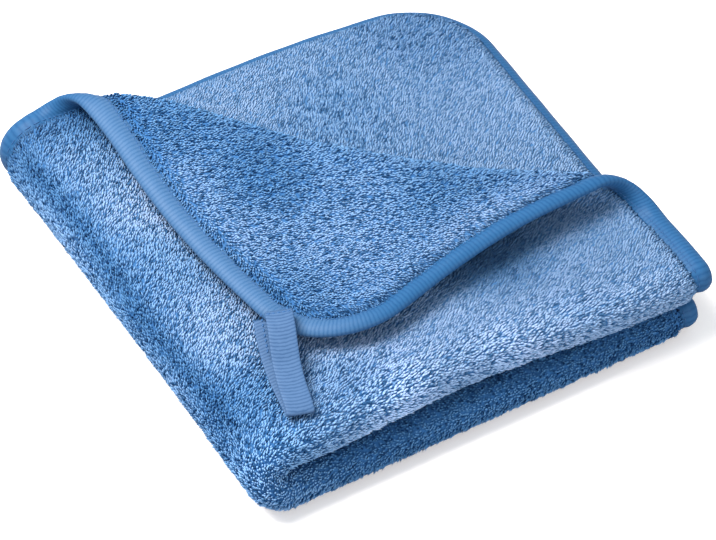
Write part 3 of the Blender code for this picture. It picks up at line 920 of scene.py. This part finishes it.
edge, edge_length = edge_run(TAPE_STEP)
edge[:, 4] *= round(edge_length / RIB_PITCH) * RIB_PITCH / edge_length
other_face = [(inward, -off) for inward, off in reversed(TAPE_SECTION[:-1])]
section = np.array([*TAPE_SECTION, *other_face, *TAPE_INSIDE])
count, around = len(edge), len(section)
radius_here = CORNER_RADIUS - section[:, 0]
tape_p = edge[:, None, 0] + edge[:, None, 2] * radius_here
tape_q = edge[:, None, 1] + edge[:, None, 3] * radius_here
ribs = RIB_RISE * np.sin(2 * math.pi * edge[:, 4] / RIB_PITCH)
gather = 1 + GATHER * np.sin(edge[:, 4] * 2 * math.pi / GATHER_PITCH)
rib_share = np.clip((np.abs(section[:, 1]) - 0.0010) / 0.0010, 0, 1) * np.sign(section[:, 1])
tape_w = section[:, 1] * gather[:, None] + ribs[:, None] * rib_share
tape_at = lay_folded(tape_p.ravel(), tape_q.ravel(), tape_w.ravel())
tape_mesh = bpy.data.meshes.new("edge_binding")
quads = []
for i in range(count):
    j = (i + 1) % count
    for a in range(around):
        b = (a + 1) % around
        quads.append((i * around + a, i * around + b, j * around + b, j * around + a))
tape_mesh.from_pydata([tuple(v) for v in tape_at], [], quads)
width_run = np.concatenate([[0], np.cumsum(np.hypot(*np.diff(section, axis=0).T))])
uv = []
for i in range(count):
    j = i + 1
    here = edge[i, 4]
    there = edge[j, 4] if j < count else edge_length
    for a in range(around):
        wa = width_run[a]
        wb = width_run[a + 1] if a + 1 < around else wa + TAPE_CLOSING
        uv += [here, wa, here, wb, there, wb, there, wa]
tape_mesh.uv_layers.new(name="tape_run").data.foreach_set("uv", np.array(uv) * TO_MM)

# Painted highlight: the tape is painted lighter along the far side of the turned-back corner, where
# its satin catches the light, and stays dark elsewhere.
SATIN_HIGHLIGHT = (2.83, 1.43, 1.20, 1)
SHINE_FROM, SHINE_OVER = 0.030, 0.025
on_far_side = np.repeat(np.clip(edge[:, 3], 0, 1) * (edge[:, 0] > -0.05), around)
from_left_fold = np.repeat(edge[:, 0] + edge[:, 2] * CORNER_RADIUS, around)
satin_shine = smooth(on_far_side) * smooth((from_left_fold - SHINE_FROM) / SHINE_OVER)
tape_mesh.attributes.new("satin_shine", "FLOAT", "POINT").data.foreach_set("value", satin_shine)


def piece_of(mesh):
    piece = bpy.data.objects.new(mesh.name, mesh)
    bpy.context.scene.collection.objects.link(piece)
    select_only(piece)
    return piece


binding = piece_of(tape_mesh)
face_outwards_and_smooth()

# Crosswise ribs and uneven wear along a tape, from how far along and across it a place lies in mm.
ribbed_tape = bpy.data.node_groups.new("ribbed_tape", "ShaderNodeTree")
ribbed_tape.interface.new_socket("Run", in_out="INPUT", socket_type="NodeSocketVector")
ribbed_tape.interface.new_socket("Ribs Per mm", in_out="INPUT", socket_type="NodeSocketFloat")
ribbed_tape.interface.new_socket("Bow", in_out="INPUT", socket_type="NodeSocketFloat")
ribbed_tape.interface.new_socket("Ribs", in_out="OUTPUT", socket_type="NodeSocketFloat")
ribbed_tape.interface.new_socket("Wear", in_out="OUTPUT", socket_type="NodeSocketFloat")
given = add_node(ribbed_tape, "NodeGroupInput", {})
run = given.outputs["Run"]
split = add_node(ribbed_tape, "ShaderNodeSeparateXYZ", {"Vector": run})
jitter = add_node(ribbed_tape, "ShaderNodeTexNoise", {"Vector": run, "Scale": 0.6}).outputs["Fac"]
across_squared = worked_out(ribbed_tape, "MULTIPLY", split.outputs["Y"], split.outputs["Y"])
bow = worked_out(ribbed_tape, "MULTIPLY", given.outputs["Bow"], across_squared)
bowed = worked_out(ribbed_tape, "ADD", split.outputs["X"], bow)
shifted = worked_out(ribbed_tape, "ADD", bowed, worked_out(ribbed_tape, "MULTIPLY", jitter, 0.8))
turns = worked_out(ribbed_tape, "MULTIPLY", shifted, given.outputs["Ribs Per mm"])
wave = worked_out(ribbed_tape, "SINE", worked_out(ribbed_tape, "MULTIPLY", turns, 2 * math.pi))
swing = worked_out(ribbed_tape, "ADD", worked_out(ribbed_tape, "MULTIPLY", wave, 0.5), 0.5)
wear = add_node(ribbed_tape, "ShaderNodeTexNoise", {"Vector": run, "Scale": 0.22, "Detail": 4})
rounded_ribs = worked_out(ribbed_tape, "POWER", swing, 0.45)
add_node(ribbed_tape, "NodeGroupOutput", {"Ribs": rounded_ribs, "Wear": wear.outputs["Fac"]})


def tape_look(name, uv_name, dark, light, ribs_per_mm, bow, rib_height):
    """A tape that is darker between its ribs, with a painted highlight where its satin catches the
    light.
    """
    look, shader, tree = new_paint(name, roughness=0.50, specular=0.14)
    shader.inputs["Sheen Weight"].default_value = 0.05
    shader.inputs["Sheen Tint"].default_value = (0.7, 0.82, 1.0, 1)
    run = add_node(tree, "ShaderNodeUVMap", {}, uv_map=uv_name).outputs["UV"]
    weave = add_node(
        tree,
        "ShaderNodeGroup",
        {"Run": run, "Ribs Per mm": ribs_per_mm, "Bow": bow},
        node_tree=ribbed_tape,
    )
    worn = worked_out(tree, "MULTIPLY", weave.outputs["Wear"], 0.36)
    share = worked_out(tree, "MULTIPLY_ADD", weave.outputs["Ribs"], 0.62, worn)
    colour = mixed_colour(tree, share, dark, light)
    # The satin's painted highlight.
    satin = mixed_colour(tree, attribute_value(tree, "satin_shine"), (1, 1, 1, 1), SATIN_HIGHLIGHT)
    bump = add_node(
        tree,
        "ShaderNodeBump",
        {"Distance": rib_height, "Strength": 1.0, "Height": weave.outputs["Ribs"]},
    )
    tree.links.new(product(tree, colour, satin), shader.inputs["Base Color"])
    tree.links.new(bump.outputs["Normal"], shader.inputs["Normal"])
    return look


binding_look = tape_look(
    "satin_binding",
    "tape_run",
    dark=(0.0080, 0.0610, 0.1700, 1),
    light=(0.0250, 0.1060, 0.2420, 1),
    ribs_per_mm=1 / 1.7,
    bow=0.0,
    rib_height=0.00004,
)
binding.data.materials.append(binding_look)
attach(binding, "root")
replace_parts(binding, "binding")
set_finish(binding, "binding_tape")

# The thread that sews the tape down: one short stitch after another in the hollow near its inner
# edge, on both faces, as one mesh.
SEAM_INSET, SEAM_RISE, SEAM_PITCH = 0.0072, 0.0022, 0.0024
SEAM_HALF = (0.00088, 0.00026, 0.00022)
bpy.ops.object.select_all(action="DESELECT")
bpy.ops.mesh.primitive_uv_sphere_add(segments=6, ring_count=4, radius=1)
seam = bpy.context.object
seam.name = "binding_stitches"
bead = np.array([v.co[:] for v in seam.data.vertices])[:, [2, 0, 1]] * SEAM_HALF
bead_faces = [tuple(f.vertices) for f in seam.data.polygons]
sewn = edge_run(SEAM_PITCH)[0]
sewn_radius = CORNER_RADIUS - SEAM_INSET
verts, faces = [], []
for side in (-1, 1):
    sewn_p, sewn_q = sewn[:, 0] + sewn[:, 2] * sewn_radius, sewn[:, 1] + sewn[:, 3] * sewn_radius
    for a, b, c in bead:
        verts.append(
            lay_folded(
                sewn_p - sewn[:, 3] * a + sewn[:, 2] * b,
                sewn_q + sewn[:, 2] * a + sewn[:, 3] * b,
                np.full(len(sewn), side * (SEAM_RISE + c)),
            )
        )
on_faces = [np.stack(verts[: len(bead)], axis=1), np.stack(verts[len(bead) :], axis=1)]
verts = np.concatenate(on_faces)
for i in range(len(verts)):
    faces += [tuple(i * len(bead) + v for v in face) for face in bead_faces]
seam.data.clear_geometry()
seam.data.from_pydata([tuple(v) for v in verts.reshape(-1, 3)], [], faces)
face_outwards_and_smooth()
thread_look, thread_shader, _ = new_paint("sewing_thread", roughness=0.6, specular=0.5)
thread_shader.inputs["Base Color"].default_value = (0.014, 0.085, 0.235, 1)
seam.data.materials.append(thread_look)
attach(seam, "root")
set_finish(seam, "binding_tape")


# ---------------------------------------------------------------------------------------------
# The hanging loop: one ribbed tape, 11 mm wide, doubled back on itself and sewn over the binding
# at the free corner. It lies down over the crest's edge onto the top layer.

LOOP_WIDTH, LOOP_TAPE = 0.011, 0.0009
LOOP_ROOT = (0.0379, 0.0594)
LOOP_HEADING = math.radians(252.3)
# The tape's middle, from its upper root down to its end and back under itself: ahead, left, up.
LOOP_LINE = (
    (0.0028, 0.0003, 0.0478),
    (0.0060, 0.0001, 0.0490),
    (0.0125, -0.0002, 0.0486),
    (0.0190, -0.0006, 0.0464),
    (0.0260, -0.0008, 0.0436),
    (0.0340, -0.0005, 0.0421),
    (0.0420, 0.0002, 0.0416),
    (0.0462, 0.0005, 0.0409),
    (0.0474, 0.0004, 0.0399),
    (0.0462, 0.0002, 0.0390),
    (0.0420, -0.0006, 0.0388),
    (0.0340, -0.0021, 0.0389),
    (0.0260, -0.0034, 0.0391),
    (0.0190, -0.0040, 0.0394),
    (0.0125, -0.0042, 0.0396),
    (0.0090, -0.0042, 0.0398),
    (0.0045, -0.0040, 0.0401),
    (0.0000, -0.0038, 0.0402),
)
LOOP_STEPS = 6
numbers = np.arange(len(LOOP_LINE), dtype=float)
up = np.array([0, 0, 1])
at = np.linspace(0, len(LOOP_LINE) - 1, (len(LOOP_LINE) - 1) * LOOP_STEPS + 1)
line = np.stack([read(numbers, [row[i] for row in LOOP_LINE], at) for i in range(3)], axis=-1)
heading = np.array([math.cos(LOOP_HEADING), math.sin(LOOP_HEADING), 0])
left = np.array([-heading[1], heading[0], 0])
root = np.array([LOOP_ROOT[0] + NEAR_CORNER[0], LOOP_ROOT[1] + NEAR_CORNER[1], 0])
loop_middle = root + line[:, :1] * heading + line[:, 1:2] * left + line[:, 2:] * up
loop_ahead = np.gradient(loop_middle, axis=0)
loop_ahead /= np.linalg.norm(loop_ahead, axis=-1, keepdims=True)
loop_up = np.cross(loop_ahead, left)
loop_run = np.concatenate([[0], np.cumsum(np.linalg.norm(np.diff(loop_middle, axis=0), axis=-1))])
# Its section, as shares of its width and thickness, with rounded edges and two shallow hollows.
LOOP_SECTION = (
    (-0.50, 0.00), (-0.485, 0.36), (-0.44, 0.50), (-0.30, 0.46), (-0.10, 0.50), (0.10, 0.50),
    (0.30, 0.46), (0.44, 0.50), (0.485, 0.36), (0.50, 0.00), (0.485, -0.36), (0.44, -0.50),
    (0.0, -0.50), (-0.44, -0.50), (-0.485, -0.36),
)
across = np.array([row[0] for row in LOOP_SECTION])
up_by = np.array([row[1] for row in LOOP_SECTION])
loop_at = (
    loop_middle[:, None]
    + (across * LOOP_WIDTH)[None, :, None] * left
    + (up_by * LOOP_TAPE)[None, :, None] * loop_up[:, None]
)
count, around = loop_at.shape[:2]
faces, uv = [], []
for i in range(count - 1):
    for a in range(around):
        b = (a + 1) % around
        faces.append((i * around + a, (i + 1) * around + a, (i + 1) * around + b, i * around + b))
        ua, ub = loop_run[i], loop_run[i + 1]
        va, vb = across[a] * LOOP_WIDTH, across[b] * LOOP_WIDTH
        uv += [ua, va, ub, va, ub, vb, ua, vb]
faces.append(tuple(range(around)))
faces.append(tuple((count - 1) * around + a for a in reversed(range(around))))
uv += [0.0] * (4 * around)
loop_mesh = bpy.data.meshes.new("hanging_loop_tape")
loop_mesh.from_pydata([tuple(v) for v in loop_at.reshape(-1, 3)], [], faces)
loop_mesh.uv_layers.new(name="loop_run").data.foreach_set("uv", np.array(uv) * TO_MM)
loop = piece_of(loop_mesh)
face_outwards_and_smooth()
loop_look = tape_look(
    "loop_tape",
    "loop_run",
    dark=(0.018, 0.060, 0.152, 1),
    light=(0.080, 0.153, 0.290, 1),
    ribs_per_mm=1 / 1.5,
    bow=0.035,
    rib_height=0.00006,
)
loop.data.materials.append(loop_look)
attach(loop, "root")
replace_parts(loop, "hanging_loop")
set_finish(loop, "loop_tape")

# The thread that sews the loop on: a row of stitches across its root and one down beside its upper leg.
STITCH_HALF = (0.00085, 0.00045, 0.00040)
ROOT_STITCHES, ROOT_ROW_AHEAD, ROOT_ROW_PITCH, ROOT_ROW_HEIGHT = 5, 0.0046, 0.0020, 0.0490
LEG_STITCHES, LEG_ROW_FROM, LEG_ROW_PITCH = 8, 0.0020, 0.0023
LEG_ROW_ASIDE, LEG_ROW_SPREAD, LEG_ROW_HEIGHT, LEG_ROW_FALL = 0.0063, 0.03, 0.0462, 0.15
bpy.ops.object.select_all(action="DESELECT")
bpy.ops.mesh.primitive_uv_sphere_add(segments=8, ring_count=6, radius=1)
stitches = bpy.context.object
stitches.name = "loop_stitches"
one = np.array([v.co[:] for v in stitches.data.vertices]) * STITCH_HALF
one_faces = [tuple(f.vertices) for f in stitches.data.polygons]
places = []
for i in range(ROOT_STITCHES):
    aside = ROOT_ROW_PITCH * (i - (ROOT_STITCHES - 1) / 2)
    here = root + ROOT_ROW_AHEAD * heading + aside * left
    places.append((here + ROOT_ROW_HEIGHT * up, left))
for i in range(LEG_STITCHES):
    gone = LEG_ROW_FROM + LEG_ROW_PITCH * i
    here = root + gone * heading - (LEG_ROW_ASIDE + LEG_ROW_SPREAD * gone) * left
    places.append((here + (LEG_ROW_HEIGHT - LEG_ROW_FALL * gone) * up, heading * 0.85 - left * 0.2))
verts, faces = [], []
for place, way in places:
    way = way / np.linalg.norm(way)
    beside = np.cross(up, way)
    faces += [tuple(len(verts) + v for v in face) for face in one_faces]
    verts += [tuple(place + a * way + b * beside + c * up) for a, b, c in one]
stitches.data.clear_geometry()
stitches.data.from_pydata(verts, [], faces)
bpy.ops.object.shade_smooth()
stitches.data.materials.append(thread_look)
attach(stitches, "root")
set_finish(stitches, "loop_tape")
